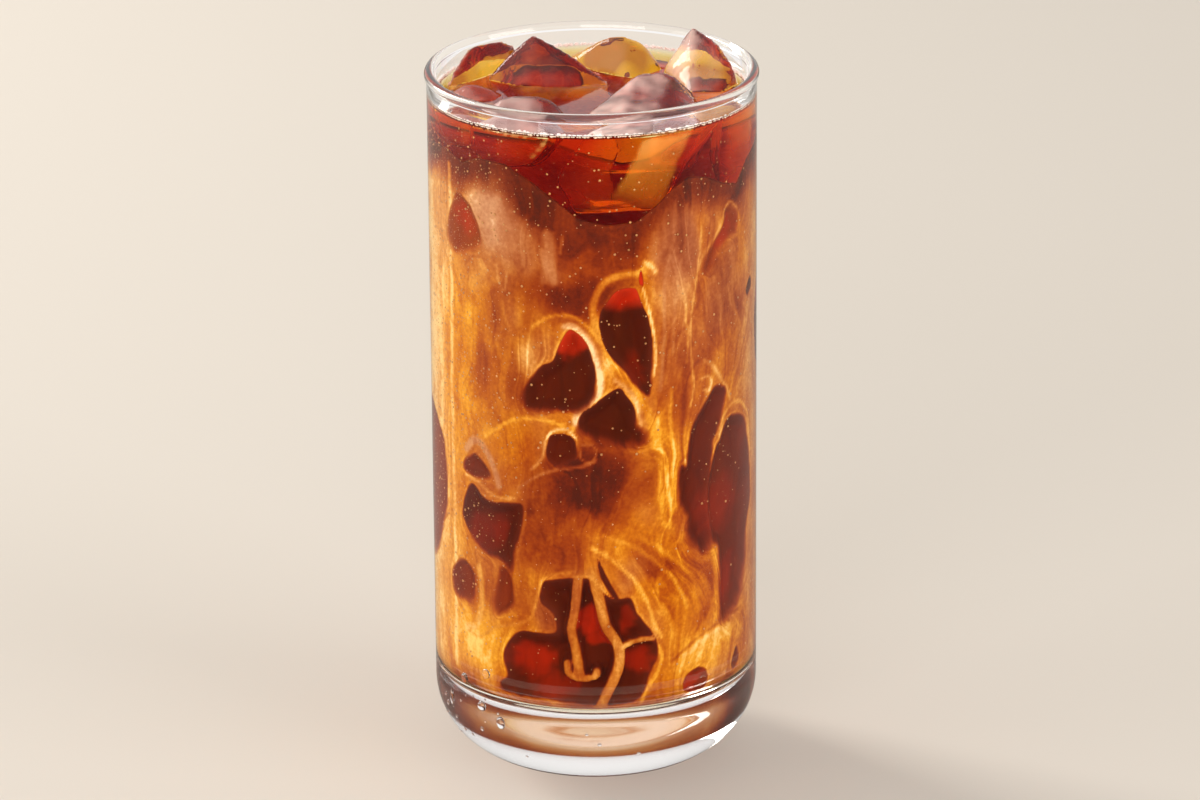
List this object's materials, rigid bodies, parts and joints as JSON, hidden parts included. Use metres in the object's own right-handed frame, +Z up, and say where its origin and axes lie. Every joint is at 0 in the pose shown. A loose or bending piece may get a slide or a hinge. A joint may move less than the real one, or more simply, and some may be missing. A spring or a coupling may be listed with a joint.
{
  "type": "cold brew coffee in a glass",
  "caption": "Tall straight glass with a thick clear base, filled with iced coffee and swirled cream; lumps of ice stand out of the drink at the rim.",
  "frame": {"origin": "centre of the foot, on the surface that the glass stands on", "axes": "+Z up along the glass's axis, -Y towards the side that the drinker sees, +X to that drinker's right"},
  "size_m": [0.071, 0.071, 0.1575],
  "materials": {
    "glass": "clear polished",
    "coffee": "wet and glossy, see-through dark red-brown where there is no cream, opaque tan where there is",
    "ice": "wet clear ice, tinted by the coffee below"
  },
  "bodies": {
    "root": {"glass": "glass", "drink": "coffee", "ice_back_left": "ice", "ice_peak_left": "ice", "ice_back": "ice", "ice_peak_right": "ice", "ice_front_right": "ice", "ice_front_left": "ice", "ice_chip_left": "ice"}
  },
  "joints": []
}
